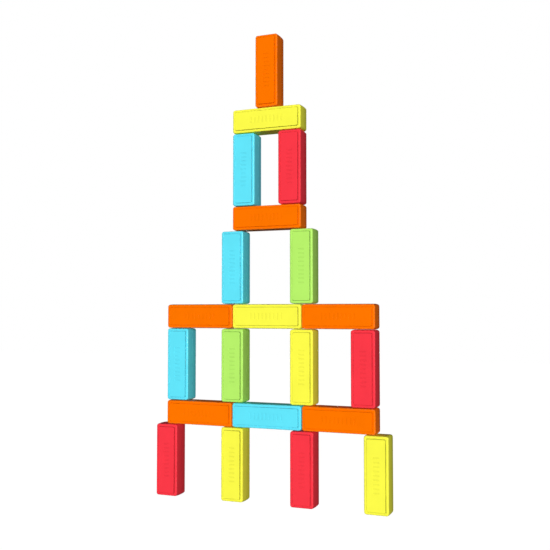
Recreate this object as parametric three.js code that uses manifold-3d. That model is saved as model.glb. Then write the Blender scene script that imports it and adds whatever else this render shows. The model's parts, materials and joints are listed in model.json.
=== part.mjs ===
// Giant tumbling tower, a lawn game: 21 hollow plastic blocks stacked on their narrow sides
// and ends into nine rows, with open windows between them.
// Units are millimetres. X runs along the tower's width, Y from its front to its back and Z up.
// The origin is on the ground, under the middle of the tower.

import * as THREE from 'three';
import { mergeVertices } from 'three/addons/utils/BufferGeometryUtils.js';
import Module from 'manifold-3d';

// Stacking grid: a block is three times as long as it is wide.
const gridLength = 190.5;
const gridWidth = gridLength / 3;
const clearance = 0.3; // left between any two pieces that touch

// One block, over its outside.
const blockLength = gridLength - clearance;
const blockWidth = gridWidth - clearance;
const blockThickness = 47.6; // without the panels, which stand proud of the two large faces
const cornerRadius = 7; // outline corners, seen from the front
const edgeRadius = 3; // between a face and the narrow sides
const cornerSteps = 2; // curve divisions; an arc is drawn with twice as many straight steps
const edgeSteps = 2;

// The raised panel on each large face.
const panelMargin = 8.5;
const panelStep = 1.8;
const panelCorner = 3;

// The inside of a shell.
const wall = 2.4;
const cavityCorner = cornerRadius - wall;
const recessMargin = panelMargin + wall; // the hollow behind the panel, measured as the panel is
const hiddenCornerSteps = 1; // on the panel and the cavity
const ribThickness = 2;
const ribSetback = 5; // from the parting plane to a rib's free edge
const ribGap = 1; // between a rib's end and the side of the hollow behind the panel
const ribPlaces = [-1 / 6, 1 / 6].map((share) => share * gridLength);
const pinRadius = 3;
const pinReach = 7; // past the parting plane, into the other shell
const pinPlaces = [-0.3, 0.3].map((share) => share * gridLength);
const pinSides = 8;
const socketRadius = pinRadius + 0.5;
const socketWall = 1.8;
const socketDepth = pinReach + 1;
const rooting = 1; // how far a rib, pin or socket runs into the wall that it stands on

// Depths from the parting plane.
const rimDepth = blockThickness / 2;
const panelDepth = rimDepth + panelStep;
const floorDepth = rimDepth - wall; // inner face of the large wall, round the panel
const recessDepth = panelDepth - wall; // the same, behind the panel
const joinDepth = clearance / 2; // a shell's open rim

const colours = {
  red: 0xfb3a48,
  yellow: 0xfdfb4a,
  cyan: 0x63e7fc,
  orange: 0xff7600,
  lime: 0xb8f26b,
};

// Rows from the ground up. A post stands on its end and a beam lies on its long side.
// Places are block centres along X, in grid lengths from the middle of the tower.
const flush = (beams) => (beams - gridWidth / gridLength) / 2; // a post level with the row's end
const rows = [
  { kind: 'post', places: [-1.5, -0.5, 0.5, 1.5], looks: ['red', 'yellow', 'red', 'yellow'] },
  { kind: 'beam', places: [-1, 0, 1], looks: ['orange', 'cyan', 'orange'] },
  {
    kind: 'post',
    places: [-flush(3), -0.5, 0.5, flush(3)],
    looks: ['cyan', 'lime', 'yellow', 'red'],
  },
  { kind: 'beam', places: [-1, 0, 1], looks: ['orange', 'yellow', 'orange'] },
  { kind: 'post', places: [-0.5, 0.5], looks: ['cyan', 'lime'] },
  { kind: 'beam', places: [0], looks: ['orange'] },
  { kind: 'post', places: [-flush(1), flush(1)], looks: ['cyan', 'red'] },
  { kind: 'beam', places: [0], looks: ['yellow'] },
  { kind: 'post', places: [0], looks: ['orange'] },
];

const wasm = await Module();
wasm.setup();

// A closed three.js geometry as a solid that can be joined and cut.
function toSolid(geometry) {
  const bare = geometry.clone();
  bare.deleteAttribute('normal');
  bare.deleteAttribute('uv');
  const merged = mergeVertices(bare, 1e-4);
  const mesh = new wasm.Mesh({
    numProp: 3,
    vertProperties: merged.attributes.position.array,
    triVerts: new Uint32Array(merged.index.array),
  });
  return new wasm.Manifold(mesh);
}

function toGeometry(solid) {
  const mesh = solid.getMesh();
  const indexed = new THREE.BufferGeometry();
  indexed.setAttribute('position', new THREE.BufferAttribute(mesh.vertProperties, 3));
  indexed.setIndex(new THREE.BufferAttribute(mesh.triVerts, 1));
  const geometry = indexed.toNonIndexed();
  geometry.computeVertexNormals();
  return geometry;
}

function roundedRectangle(length, width, radius) {
  const x = length / 2 - radius;
  const y = width / 2 - radius;
  const quarter = Math.PI / 2;
  const shape = new THREE.Shape();
  shape.absarc(x, y, radius, 0, quarter);
  shape.absarc(-x, y, radius, quarter, 2 * quarter);
  shape.absarc(-x, -y, radius, 2 * quarter, 3 * quarter);
  shape.absarc(x, -y, radius, 3 * quarter, 4 * quarter);
  return shape;
}

// A prism on the block's outline, drawn in by a margin, between two depths along Z.
function slab(margin, radius, from, to) {
  const shape = roundedRectangle(blockLength - 2 * margin, blockWidth - 2 * margin, radius);
  const options = { depth: to - from, bevelEnabled: false, curveSegments: hiddenCornerSteps };
  return toSolid(new THREE.ExtrudeGeometry(shape, options).translate(0, 0, from));
}

// The block's body with its long edges rounded, centred on the parting plane.
function roundedBody() {
  const depth = 2 * (rimDepth - edgeRadius);
  const options = {
    depth,
    curveSegments: cornerSteps,
    bevelSegments: edgeSteps,
    bevelThickness: edgeRadius,
    bevelSize: edgeRadius,
    bevelOffset: -edgeRadius,
  };
  const shape = roundedRectangle(blockLength, blockWidth, cornerRadius);
  return toSolid(new THREE.ExtrudeGeometry(shape, options).translate(0, 0, -depth / 2));
}

// A cross rib that stands behind the panel.
function rib(x) {
  const width = blockWidth - 2 * (recessMargin + ribGap);
  const height = recessDepth + rooting - ribSetback;
  const box = new THREE.BoxGeometry(ribThickness, width, height);
  return toSolid(box.translate(x, 0, ribSetback + height / 2));
}

// A round stud standing along Z, between two depths.
function stud(radius, x, from, to) {
  const cylinder = new THREE.CylinderGeometry(radius, radius, to - from, pinSides);
  return toSolid(cylinder.rotateX(Math.PI / 2).translate(x, 0, (from + to) / 2));
}

// An open half shell, with its rim at the parting plane and its large face looking along +Z.
function plainShell() {
  const panel = slab(panelMargin, panelCorner, 0, panelDepth);
  const recess = slab(recessMargin, panelCorner, 0, recessDepth);
  const cavity = slab(wall, cavityCorner, 0, floorDepth);
  const otherHalf = slab(-clearance, panelCorner, -panelDepth, joinDepth);
  const solidShell = roundedBody().add(panel).subtract(otherHalf);
  const openShell = solidShell.subtract(cavity).subtract(recess);
  return ribPlaces.reduce((shell, x) => shell.add(rib(x)), openShell);
}

// The front shell carries the locating pins, and the rear shell the sockets that they enter.
function frontShell() {
  const addPin = (shell, x) => shell.add(stud(pinRadius, x, -pinReach, recessDepth + rooting));
  return pinPlaces.reduce(addPin, plainShell());
}

function rearShell() {
  const addSocket = (shell, x) => {
    const boss = stud(socketRadius + socketWall, x, joinDepth, recessDepth + rooting);
    const bore = stud(socketRadius, x, 0, socketDepth);
    return shell.add(boss).subtract(bore);
  };
  return pinPlaces.reduce(addSocket, plainShell());
}

const shells = {
  front: { geometry: toGeometry(frontShell()), turn: Math.PI / 2 },
  rear: { geometry: toGeometry(rearShell()), turn: -Math.PI / 2 },
};

function satinPlastic(look) {
  return new THREE.MeshStandardMaterial({ color: colours[look], roughness: 0.45, metalness: 0 });
}

// One block: its two shells, face to face across the parting plane.
function block(name, look) {
  const group = new THREE.Group();
  for (const [side, { geometry, turn }] of Object.entries(shells)) {
    const mesh = new THREE.Mesh(geometry, satinPlastic(look));
    mesh.name = `${name}_${side}_shell`;
    mesh.rotation.x = turn;
    group.add(mesh);
  }
  return group;
}

const tower = new THREE.Group();
let rowBase = 0;
rows.forEach(({ kind, places, looks }, row) => {
  const upright = kind === 'post';
  const height = upright ? blockLength : blockWidth;
  places.forEach((place, i) => {
    const piece = block(`row_${row + 1}_${kind}_${i + 1}`, looks[i]);
    piece.rotation.y = upright ? Math.PI / 2 : 0;
    piece.position.set(place * gridLength, 0, rowBase + height / 2);
    tower.add(piece);
  });
  rowBase += height + clearance;
});

export default tower;
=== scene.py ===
"""Giant tumbling tower: the finished look of 21 hollow plastic blocks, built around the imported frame.

Each block is two half shells. Both are made here once, as fine meshes in the block's own axes
(X along its length, Y along its width, Z out of its large face), then copied to every block of the
frame, turned and coloured. Units are metres.
"""

import json
import math

import bmesh
import bpy
from mathutils import Matrix, Vector

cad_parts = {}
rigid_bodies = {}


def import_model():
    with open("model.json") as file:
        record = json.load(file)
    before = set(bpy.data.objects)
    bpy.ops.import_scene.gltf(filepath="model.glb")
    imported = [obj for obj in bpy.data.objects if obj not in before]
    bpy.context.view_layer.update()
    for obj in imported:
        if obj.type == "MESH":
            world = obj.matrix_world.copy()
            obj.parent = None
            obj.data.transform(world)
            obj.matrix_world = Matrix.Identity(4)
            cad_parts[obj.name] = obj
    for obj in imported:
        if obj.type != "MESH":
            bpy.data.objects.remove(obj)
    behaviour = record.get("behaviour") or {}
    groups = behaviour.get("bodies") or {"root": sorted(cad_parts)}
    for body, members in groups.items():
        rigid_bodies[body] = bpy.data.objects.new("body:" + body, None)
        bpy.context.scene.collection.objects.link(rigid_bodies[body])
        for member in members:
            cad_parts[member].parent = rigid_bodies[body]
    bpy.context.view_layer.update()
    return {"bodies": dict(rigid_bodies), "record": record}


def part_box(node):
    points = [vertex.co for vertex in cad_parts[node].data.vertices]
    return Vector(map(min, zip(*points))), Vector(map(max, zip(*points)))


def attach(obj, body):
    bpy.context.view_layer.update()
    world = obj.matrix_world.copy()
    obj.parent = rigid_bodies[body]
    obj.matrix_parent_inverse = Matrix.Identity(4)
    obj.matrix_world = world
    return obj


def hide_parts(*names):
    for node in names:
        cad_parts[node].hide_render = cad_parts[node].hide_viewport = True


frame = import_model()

MM = 0.001

# One block, measured on the frame.
SIDES = ("front", "rear")
SAMPLE = "row_1_post_1"


def block_box(body):
    """Lowest and highest corner of a block, over both of its shells."""
    corners = [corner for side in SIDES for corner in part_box(f"{body}_{side}_shell")]
    return Vector(map(min, *corners)), Vector(map(max, *corners))


sample_low, sample_high = block_box(SAMPLE)
BLOCK_WIDTH, BLOCK_THICKNESS, BLOCK_LENGTH = sample_high - sample_low
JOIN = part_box(f"{SAMPLE}_rear_shell")[0].y  # from the parting plane to a shell's rim

# The outside of a shell.
CORNER_RADIUS = 7 * MM
EDGE_RADIUS = 3 * MM
SEAM_CHAMFER = 0.3 * MM
CROWN = 0.9 * MM  # how far the narrow sides fall away from the parting plane to the rounded edge
PANEL_MARGIN = 8.5 * MM
PANEL_STEP = 1.8 * MM
PANEL_CORNER = 3 * MM
PANEL_EDGE = 0.35 * MM
MOAT_WIDTH = 2 * MM  # the fine groove that runs round the panel's foot
MOAT_DEPTH = 1.2 * MM
MOAT_EDGE = 0.25 * MM

# The row of shallow grooves across the panel.
GROOVE_COUNT = 9
GROOVE_PITCH = 10.5 * MM
GROOVE_LENGTH = 17 * MM
GROOVE_WIDTH = 4.4 * MM
GROOVE_DEPTH = 0.5 * MM
GROOVE_EDGE = GROOVE_DEPTH / 2

# The inside of a shell.
WALL = 2.4 * MM
FLOOR_FILLET = 1 * MM
RIB_THICKNESS = 2 * MM
RIB_GAP = 1 * MM  # from a rib's end to the side of the recess behind the panel
RIB_SETBACK = 5 * MM
RIB_PLACES = [share * BLOCK_LENGTH for share in (-1 / 6, 1 / 6)]
PIN_RADIUS = 3 * MM
PIN_REACH = 7 * MM
PIN_CHAMFER = 0.6 * MM
PIN_PLACES = [share * BLOCK_LENGTH for share in (-0.3, 0.3)]
SOCKET_RADIUS = 3.5 * MM
SOCKET_WALL = 1.8 * MM
SOCKET_SPACE = 1 * MM  # between a pin's tip and the bottom of its socket

# How finely curves are divided.
HOLD = 0.12 * MM  # from a curve's end to the next points on the flat beside it
CORNER_STEPS = 10
CROWN_STEPS = 4
EDGE_STEPS = 6
SMALL_STEPS = 3
ROUND_SIDES = 32

# Depths from the parting plane, outside and inside.
PANEL_TOP = BLOCK_THICKNESS / 2
RIM_TOP = PANEL_TOP - PANEL_STEP
CAVITY_FLOOR = RIM_TOP - WALL
RECESS_MARGIN = PANEL_MARGIN + WALL
RECESS_FLOOR = PANEL_TOP - WALL

# How strongly painted shade darkens each crease, from 0 to 1.
SEAM_CREASE = 1.0
SEAM_LIP_CREASE = 0.6
PANEL_CREASE = 1.0
MOAT_CREASE = 0.85
GROOVE_CREASE = 0.12

# How glossy each colour's skin is, and how dark the shade painted into its creases is.
FINISHES = {
    "red_plastic": {"coat": 0.03, "crease_darkness": 0.75},
    "yellow_plastic": {"coat": 0.08, "crease_darkness": 1.0},
    "cyan_plastic": {"coat": 0.3, "crease_darkness": 0.6},
    "orange_plastic": {"coat": 0.03, "crease_darkness": 0.4},
    "lime_plastic": {"coat": 0.18, "crease_darkness": 1.0},
}

# The textures of the skin. A noise's scale is in cells to a metre.
CLOUDS = {"scale": 22, "detail": 3}
SPECKS = {"scale": 900, "detail": 2}
SCRATCHES = {"scale": 260, "detail": 6, "roughness": 0.7}
GRAIN = {"scale": 1400, "detail": 3}
PEEL = {"scale": 120, "detail": 2}
GRAIN_BUMP = {"strength": 0.15, "distance": 0.05 * MM}
PEEL_BUMP = {"strength": 0.3, "distance": 0.1 * MM}

# What they do: the band of a noise's values that counts, and the effect at the band's two ends.
CLOUD_SHADE = {"band": (0.35, 0.7), "effect": (0, 0.5)}
SPECK_SHADE = {"band": (0.45, 0.75), "effect": (0, 0.25)}
SCRATCH_COVER = {"band": (0.48, 0.62), "effect": (0, 1)}
# The shade painted into the creases is patchy, following the clouds.
CREASE_SHADE_PATCHES = {"band": (0.4, 0.6), "effect": (0.75, 1)}
CLOUD_ROUGHNESS = {"band": (0.3, 0.7), "effect": (0.3, 0.38)}

# Shades of a colour: how much of it stays, and how much white is added.
DEEP = (0.9, 0)
WORN = (0.75, 0.25)
# The shade painted into the creases: a fifth of the colour.
CREASE_SHADE_TONE = (0.2, 0)

WORN_SHARE = 0.2  # how strongly a scuff shows in the colour
WORN_ROUGHNESS = 0.2  # how much rougher it is
SPECULAR_LEVEL = 0.35
COAT_ROUGHNESS = 0.2

# The studio. Angles are in degrees.
CAMERA_PLACE = (0.790, -1.930, 0.488)
CAMERA_LENS = 52.93
CAMERA_RISE = 2.60  # upwards from level
CAMERA_TURN = 21.87  # to the left of straight ahead
LIGHTS = {
    "key": {"azimuth": 20, "elevation": 5, "spread": 24, "strength": 3.4, "glossy": True},
    "back": {"azimuth": 190, "elevation": 0, "spread": 20, "strength": 2.2, "glossy": False},
    "left": {"azimuth": -115, "elevation": -4, "spread": 50, "strength": 0.6, "glossy": False},
}
WHITE = (1, 1, 1, 1)
ROOM_GREY = (0.04, 0.04, 0.04, 1)  # what the room adds from all around
FLOOR_SIZE = 12
FLOOR_GREY = (0.3, 0.3, 0.3, 1)
FLOOR_ROUGHNESS = 0.9
FLOOR_GLOW = 0.96


def rounded_rectangle(length, width, radius, steps=CORNER_STEPS):
    """Points of a rounded rectangle round the origin, counter-clockwise from its +X side.

    Each straight side has a point close to either end, which keeps its shading flat.
    """
    points = []
    for quarter in range(4):
        side_x = 1 if quarter in (0, 3) else -1
        side_y = 1 if quarter in (0, 1) else -1
        centre = Vector((side_x * (length / 2 - radius), side_y * (width / 2 - radius)))
        start = Vector((math.cos(quarter * math.pi / 2), math.sin(quarter * math.pi / 2)))
        end = start.orthogonal()
        points.append(centre + radius * start - HOLD * end)
        for step in range(steps + 1):
            angle = step / steps * math.pi / 2
            points.append(centre + radius * (math.cos(angle) * start + math.sin(angle) * end))
        points.append(centre + radius * end - HOLD * start)
    return points


def round_ended(length, width):
    """A rounded rectangle whose two ends are almost half circles."""
    return rounded_rectangle(length, width, min(length, width) / 2 - 2 * HOLD, SMALL_STEPS)


def circle(radius):
    turns = [2 * math.pi * step / ROUND_SIDES for step in range(ROUND_SIDES)]
    return [(radius * math.cos(turn), radius * math.sin(turn)) for turn in turns]


def arc(centre, radius, start, end, steps):
    """Points of an arc, as (inset, depth) pairs, between two angles in degrees."""
    points = []
    for step in range(steps + 1):
        angle = math.radians(start + (end - start) * step / steps)
        points.append((centre[0] + radius * math.cos(angle), centre[1] + radius * math.sin(angle)))
    return points


class ShellMesh:
    """A bmesh built from rings of points, with a wear value and a painted crease-shade value on each
    vertex.
    """

    def __init__(self):
        self.mesh = bmesh.new()
        # How far painted shade darkens the skin at each vertex, in the creases.
        self.wear = self.mesh.verts.layers.float.new("wear")
        self.crease_shade = self.mesh.verts.layers.float.new("crease_shade")

    def ring(self, outline, depth, place=(0, 0), wear=0.0, crease_shade=0.0):
        verts = []
        for x, y in outline:
            vert = self.mesh.verts.new((x + place[0], y + place[1], depth))
            vert[self.wear] = wear
            vert[self.crease_shade] = crease_shade
            verts.append(vert)
        return verts

    def bridge(self, lower, upper):
        count = len(lower)
        for i in range(count):
            j = (i + 1) % count
            self.mesh.faces.new((lower[i], lower[j], upper[j], upper[i]))

    def loft(self, rings):
        for lower, upper in zip(rings, rings[1:]):
            self.bridge(lower, upper)

    def closed_loft(self, rings):
        """A loft with a face over its last ring. Returns its first ring."""
        self.loft(rings)
        self.mesh.faces.new(rings[-1])
        return rings[0]

    def fill(self, outline, holes):
        """A flat face bounded by one ring, with the given rings left open in it."""
        edges = []
        for ring in [outline, *holes]:
            for a, b in zip(ring, ring[1:] + ring[:1]):
                edges.append(self.mesh.edges.get((a, b)) or self.mesh.edges.new((a, b)))
        bmesh.ops.triangle_fill(self.mesh, edges=edges, use_beauty=True)


def block_outline(inset, radius):
    return rounded_rectangle(BLOCK_LENGTH - 2 * inset, BLOCK_WIDTH - 2 * inset, radius)


def side_rings(shell):
    """The narrow sides, slightly crowned, from the rim at the parting plane to the rounded edge."""
    seam = [
        (SEAM_CHAMFER, JOIN, SEAM_CREASE),
        (0, JOIN + SEAM_CHAMFER, SEAM_LIP_CREASE),
        (0, JOIN + SEAM_CHAMFER + HOLD, 0),
    ]
    rings = []
    for inset, depth, crease_shade in seam:
        rings.append(shell.ring(block_outline(inset, CORNER_RADIUS - inset), depth, crease_shade=crease_shade))
    for step in range(1, CROWN_STEPS + 1):
        share = step / CROWN_STEPS
        inset = CROWN * share**2
        depth = share * (RIM_TOP - EDGE_RADIUS - HOLD)
        rings.append(shell.ring(block_outline(inset, CORNER_RADIUS - inset), depth))
    return rings


def edge_rings(shell):
    """The rounded edge and the flat border round the panel."""
    rings = []
    edge = arc((CROWN + EDGE_RADIUS, RIM_TOP - EDGE_RADIUS), EDGE_RADIUS, 180, 90, EDGE_STEPS)
    for step, (inset, depth) in enumerate(edge):
        wear = math.sin(math.pi * step / EDGE_STEPS)
        rings.append(shell.ring(block_outline(inset, CORNER_RADIUS - inset), depth, wear=wear))
    inset = CROWN + EDGE_RADIUS + HOLD
    rings.append(shell.ring(block_outline(inset, CORNER_RADIUS - inset), RIM_TOP))
    return rings


def panel_rings(shell):
    """The fine groove round the panel's foot, then the panel's wall and face."""
    bottom = RIM_TOP - MOAT_DEPTH
    outer = PANEL_MARGIN - MOAT_WIDTH
    lip = arc((outer - MOAT_EDGE, RIM_TOP - MOAT_EDGE), MOAT_EDGE, 90, 0, SMALL_STEPS)
    near_foot = arc((outer + MOAT_EDGE, bottom + MOAT_EDGE), MOAT_EDGE, 180, 270, SMALL_STEPS)
    far_foot = arc((PANEL_MARGIN - MOAT_EDGE, bottom + MOAT_EDGE), MOAT_EDGE, 270, 360, SMALL_STEPS)
    top = arc((PANEL_MARGIN + PANEL_EDGE, PANEL_TOP - PANEL_EDGE), PANEL_EDGE, 180, 90, SMALL_STEPS)
    rings = []

    def add(inset, depth, crease_shade=0.0):
        outline = block_outline(inset, PANEL_CORNER + PANEL_MARGIN - inset)
        rings.append(shell.ring(outline, depth, crease_shade=crease_shade))

    add(outer - MOAT_EDGE - HOLD, RIM_TOP)
    for inset, depth in lip + near_foot:
        add(inset, depth)
    # The moat's foot by the panel, and the panel's edge above it, are darkened with painted shade.
    for inset, depth in far_foot:
        add(inset, depth, crease_shade=MOAT_CREASE)
    for step, (inset, depth) in enumerate(top):
        add(inset, depth, crease_shade=PANEL_CREASE * (1 - step / SMALL_STEPS))
    add(PANEL_MARGIN + PANEL_EDGE + HOLD, PANEL_TOP)
    return rings


def groove(shell, x):
    """A shallow round-ended groove across the panel. Returns the ring round it on the panel's face."""
    lip = arc((-GROOVE_EDGE, -GROOVE_EDGE), GROOVE_EDGE, 90, 0, SMALL_STEPS)
    foot = arc((GROOVE_EDGE, GROOVE_EDGE - GROOVE_DEPTH), GROOVE_EDGE, 180, 270, SMALL_STEPS)
    profile = [(-GROOVE_EDGE - HOLD, 0), *lip, *foot[1:], (GROOVE_EDGE + HOLD, -GROOVE_DEPTH)]
    rings = []
    for inset, depth in profile:
        outline = round_ended(GROOVE_WIDTH - 2 * inset, GROOVE_LENGTH - 2 * inset)
        crease_shade = GROOVE_CREASE * (-depth / GROOVE_DEPTH)
        rings.append(shell.ring(outline, PANEL_TOP + depth, place=(x, 0), crease_shade=crease_shade))
    return shell.closed_loft(rings)


def rib(shell, x):
    """A stiffening rib behind the panel. Returns its first ring, on the recess's floor."""
    outline = round_ended(RIB_THICKNESS, BLOCK_WIDTH - 2 * (RECESS_MARGIN + RIB_GAP))
    rings = [shell.ring(outline, depth, place=(x, 0)) for depth in (RECESS_FLOOR, RIB_SETBACK)]
    return shell.closed_loft(rings)


def turned(shell, x, profile):
    """A round feature along Z, from (radius, depth) pairs. Returns its first ring."""
    rings = [shell.ring(circle(radius), depth, place=(x, 0)) for radius, depth in profile]
    return shell.closed_loft(rings)


def pin(shell, x):
    """A locating pin that reaches past the parting plane into the other shell."""
    tip = PIN_RADIUS - PIN_CHAMFER
    profile = [(PIN_RADIUS, RECESS_FLOOR), (PIN_RADIUS, PIN_CHAMFER - PIN_REACH), (tip, -PIN_REACH)]
    return turned(shell, x, profile)


def socket(shell, x):
    """A round boss with a blind bore, for the other shell's pin."""
    outer = SOCKET_RADIUS + SOCKET_WALL
    bottom = PIN_REACH + SOCKET_SPACE
    profile = [(outer, RECESS_FLOOR), (outer, JOIN), (SOCKET_RADIUS, JOIN), (SOCKET_RADIUS, bottom)]
    return turned(shell, x, profile)


def inner_rings(shell):
    """From the rim at the parting plane, down the inside and into the recess behind the panel."""
    radius = CORNER_RADIUS - WALL
    centre = (WALL + FLOOR_FILLET, CAVITY_FLOOR - FLOOR_FILLET)
    rings = [shell.ring(block_outline(WALL, radius), JOIN)]
    for inset, depth in arc(centre, FLOOR_FILLET, 180, 90, SMALL_STEPS):
        rings.append(shell.ring(block_outline(inset, radius - inset + WALL), depth))
    recess = [
        (-HOLD, CAVITY_FLOOR),
        (0, CAVITY_FLOOR + HOLD),
        (0, RECESS_FLOOR - HOLD),
        (HOLD, RECESS_FLOOR),
    ]
    for inset, depth in recess:
        rings.append(shell.ring(block_outline(RECESS_MARGIN + inset, PANEL_CORNER - inset), depth))
    return rings


def shell_mesh(locator):
    """One half shell, whose locators are pins or sockets."""
    shell = ShellMesh()
    outside = side_rings(shell) + edge_rings(shell) + panel_rings(shell)
    inside = inner_rings(shell)
    shell.loft([*reversed(inside), *outside])
    middle = (GROOVE_COUNT - 1) / 2
    grooves = [groove(shell, (i - middle) * GROOVE_PITCH) for i in range(GROOVE_COUNT)]
    shell.fill(outside[-1], grooves)
    ribs = [rib(shell, x) for x in RIB_PLACES]
    locators = [locator(shell, x) for x in PIN_PLACES]
    shell.fill(inside[-1], ribs + locators)
    bmesh.ops.recalc_face_normals(shell.mesh, faces=shell.mesh.faces)
    for face in shell.mesh.faces:
        face.smooth = True
    return shell.mesh


def node_material(name):
    material = bpy.data.materials.new(name)
    material.use_nodes = True
    return material, material.node_tree, material.node_tree.nodes["Principled BSDF"]


def noise(tree, position, scale, detail, roughness=0.5):
    texture = tree.nodes.new("ShaderNodeTexNoise")
    texture.inputs["Scale"].default_value = scale
    texture.inputs["Detail"].default_value = detail
    texture.inputs["Roughness"].default_value = roughness
    tree.links.new(position, texture.inputs["Vector"])
    return texture.outputs["Fac"]


def remap(tree, value, band, effect):
    mapping = tree.nodes.new("ShaderNodeMapRange")
    mapping.inputs["From Min"].default_value = band[0]
    mapping.inputs["From Max"].default_value = band[1]
    mapping.inputs["To Min"].default_value = effect[0]
    mapping.inputs["To Max"].default_value = effect[1]
    tree.links.new(value, mapping.inputs["Value"])
    return mapping.outputs["Result"]


def calculate(tree, operation, a, b):
    """A sum or product, kept between 0 and 1, of a socket and a socket or number."""
    node = tree.nodes.new("ShaderNodeMath")
    node.operation = operation
    node.use_clamp = True
    tree.links.new(a, node.inputs[0])
    if isinstance(b, (int, float)):
        node.inputs[1].default_value = b
    else:
        tree.links.new(b, node.inputs[1])
    return node.outputs["Value"]


def blend(tree, share, a, b):
    """Colour a, a socket or fixed, with a share of the fixed colour b over it."""
    node = tree.nodes.new("ShaderNodeMix")
    node.data_type = "RGBA"
    tree.links.new(share, node.inputs["Factor"])
    under, over = (s for s in node.inputs if s.type == "RGBA")
    if isinstance(a, tuple):
        under.default_value = a
    else:
        tree.links.new(a, under)
    over.default_value = b
    return next(s for s in node.outputs if s.type == "RGBA")


def attribute(tree, name):
    node = tree.nodes.new("ShaderNodeAttribute")
    node.attribute_name = name
    return node.outputs["Fac"]


def bump(tree, height, strength, distance):
    node = tree.nodes.new("ShaderNodeBump")
    node.inputs["Strength"].default_value = strength
    node.inputs["Distance"].default_value = distance
    tree.links.new(height, node.inputs["Height"])
    return node


def shade(colour, stays, white):
    """The colour with only a part of it kept and some white added."""
    return tuple(stays * channel + white for channel in colour[:3]) + (1,)


def worn_parts(tree, place):
    """Where the rounded edges are scuffed, from 0 to 1."""
    scratches = remap(tree, noise(tree, place, **SCRATCHES), **SCRATCH_COVER)
    return calculate(tree, "MULTIPLY", scratches, attribute(tree, "wear"))


def shaded_creases(tree, clouds, crease_darkness):
    """Where shade is painted into the creases, from 0 to 1. It is patchy, as the clouds are."""
    effect = tuple(crease_darkness * end for end in CREASE_SHADE_PATCHES["effect"])
    patches = remap(tree, clouds, CREASE_SHADE_PATCHES["band"], effect)
    return calculate(tree, "MULTIPLY", patches, attribute(tree, "crease_shade"))


def skin_colour(tree, place, clouds, worn, colour, crease_darkness):
    """The pigment with faint clouds and specks, then the scuffs and the shade painted into the creases."""
    specks = noise(tree, place, **SPECKS)
    body = blend(tree, remap(tree, clouds, **CLOUD_SHADE), colour, shade(colour, *DEEP))
    body = blend(tree, remap(tree, specks, **SPECK_SHADE), body, shade(colour, *DEEP))
    body = blend(tree, calculate(tree, "MULTIPLY", worn, WORN_SHARE), body, shade(colour, *WORN))
    # Painted shade: the creases darkened towards a fifth of the colour.
    return blend(tree, shaded_creases(tree, clouds, crease_darkness), body, shade(colour, *CREASE_SHADE_TONE))


def skin_roughness(tree, clouds, worn):
    clean = remap(tree, clouds, **CLOUD_ROUGHNESS)
    return calculate(tree, "ADD", clean, calculate(tree, "MULTIPLY", worn, WORN_ROUGHNESS))


def skin_relief(tree, place):
    """The mould's fine grain, under the broad waviness that plastic cools to."""
    fine = bump(tree, noise(tree, place, **GRAIN), **GRAIN_BUMP)
    broad = bump(tree, noise(tree, place, **PEEL), **PEEL_BUMP)
    tree.links.new(fine.outputs["Normal"], broad.inputs["Normal"])
    return broad.outputs["Normal"]


def satin_plastic(name, colour, coat, crease_darkness):
    """Moulded satin plastic: faint clouding, fine grain, dull scuffs on the edges, shade painted into the
    creases.
    """
    material, tree, shader = node_material(name)
    place = tree.nodes.new("ShaderNodeTexCoord").outputs["Object"]
    clouds = noise(tree, place, **CLOUDS)
    worn = worn_parts(tree, place)
    relief = skin_relief(tree, place)
    tree.links.new(skin_colour(tree, place, clouds, worn, colour, crease_darkness), shader.inputs["Base Color"])
    tree.links.new(skin_roughness(tree, clouds, worn), shader.inputs["Roughness"])
    tree.links.new(relief, shader.inputs["Normal"])
    tree.links.new(relief, shader.inputs["Coat Normal"])
    shader.inputs["Specular IOR Level"].default_value = SPECULAR_LEVEL
    shader.inputs["Specular Tint"].default_value = colour
    shader.inputs["Coat Weight"].default_value = coat
    shader.inputs["Coat Roughness"].default_value = COAT_ROUGHNESS
    return material


def plastics(record):
    """A material for each of the record's slots, in the record's colour."""
    materials = {}
    for finish in record["materials"]:
        slot = finish["slot"]
        materials[slot] = satin_plastic(slot, (*finish["base_color"], 1), **FINISHES[slot])
    return materials


SLOT_OF = {subpart["node"]: subpart["material_slot"] for subpart in frame["record"]["subparts"]}
PLASTICS = plastics(frame["record"])
SHELLS = {"front": shell_mesh(pin), "rear": shell_mesh(socket)}


def place_shell(body, side):
    """A fine shell in its place in the tower, standing for the CAD node of the same side."""
    node = f"{body}_{side}_shell"
    low, high = block_box(body)
    upright = high.z - low.z > high.x - low.x
    facing = Matrix.Rotation(math.pi / 2 if side == "front" else -math.pi / 2, 4, "X")
    turned_up = Matrix.Rotation(math.pi / 2 if upright else 0, 4, "Y")
    mesh = bpy.data.meshes.new(f"{body}_{side}")
    SHELLS[side].to_mesh(mesh)
    mesh.transform(Matrix.Translation((low + high) / 2) @ turned_up @ facing)
    slot = SLOT_OF[node]
    mesh.materials.append(PLASTICS[slot])
    piece = bpy.data.objects.new(f"{body}_{side}", mesh)
    bpy.context.scene.collection.objects.link(piece)
    normals = piece.modifiers.new("flat_faces", "WEIGHTED_NORMAL")
    normals.mode = "FACE_AREA"
    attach(piece, body)
    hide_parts(node)


def add_camera():
    data = bpy.data.cameras.new("camera")
    data.lens = CAMERA_LENS
    camera = bpy.data.objects.new("camera", data)
    camera.location = CAMERA_PLACE
    camera.rotation_euler = (math.radians(90 + CAMERA_RISE), 0, math.radians(CAMERA_TURN))
    bpy.context.scene.collection.objects.link(camera)
    bpy.context.scene.camera = camera


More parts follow.
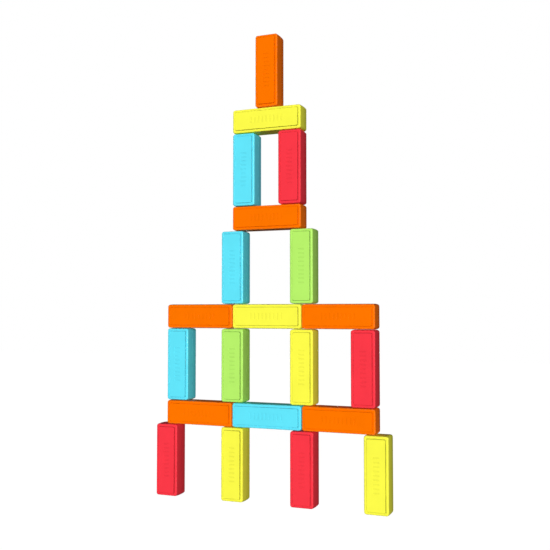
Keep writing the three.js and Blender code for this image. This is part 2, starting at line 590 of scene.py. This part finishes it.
def soft_sun(name, azimuth, elevation, spread, strength, glossy):
    """A distant soft light. Azimuth 0 comes from straight in front, and grows to the right.

    A light that isn't glossy leaves no highlight, as a fill light shouldn't.
    """
    a, e = math.radians(azimuth), math.radians(elevation)
    away = Vector((math.sin(a) * math.cos(e), -math.cos(a) * math.cos(e), math.sin(e)))
    data = bpy.data.lights.new(name, "SUN")
    data.angle = math.radians(spread)
    data.energy = strength
    light = bpy.data.objects.new(name, data)
    light.rotation_euler = (-away).to_track_quat("-Z", "Y").to_euler()
    light.visible_glossy = glossy
    bpy.context.scene.collection.objects.link(light)


def add_floor():
    """A nearly white floor that glows, so that it stays as pale as the room behind the tower."""
    bpy.ops.mesh.primitive_plane_add(size=FLOOR_SIZE)
    floor = bpy.context.object
    floor.name = "floor"
    material, _, shader = node_material("pale_floor")
    shader.inputs["Base Color"].default_value = FLOOR_GREY
    shader.inputs["Roughness"].default_value = FLOOR_ROUGHNESS
    shader.inputs["Emission Color"].default_value = WHITE
    shader.inputs["Emission Strength"].default_value = FLOOR_GLOW
    floor.data.materials.append(material)
    floor.visible_diffuse = False
    floor.visible_glossy = False
    floor.visible_shadow = False


def background(tree, colour):
    node = tree.nodes.new("ShaderNodeBackground")
    node.inputs["Color"].default_value = colour
    return node.outputs["Background"]


def add_world():
    """A room that looks white, and lights the tower as a dim grey one."""
    world = bpy.data.worlds.new("studio")
    world.use_nodes = True
    bpy.context.scene.world = world
    tree = world.node_tree
    tree.nodes.clear()
    output = tree.nodes.new("ShaderNodeOutputWorld")
    mix = tree.nodes.new("ShaderNodeMixShader")
    path = tree.nodes.new("ShaderNodeLightPath")
    tree.links.new(path.outputs["Is Camera Ray"], mix.inputs["Fac"])
    tree.links.new(background(tree, ROOM_GREY), mix.inputs[1])
    tree.links.new(background(tree, WHITE), mix.inputs[2])
    tree.links.new(mix.outputs["Shader"], output.inputs["Surface"])


for body in frame["bodies"]:
    for side in SIDES:
        place_shell(body, side)

add_camera()
for name, light in LIGHTS.items():
    soft_sun(name, **light)
add_floor()
add_world()
bpy.context.scene.view_settings.view_transform = "Standard"
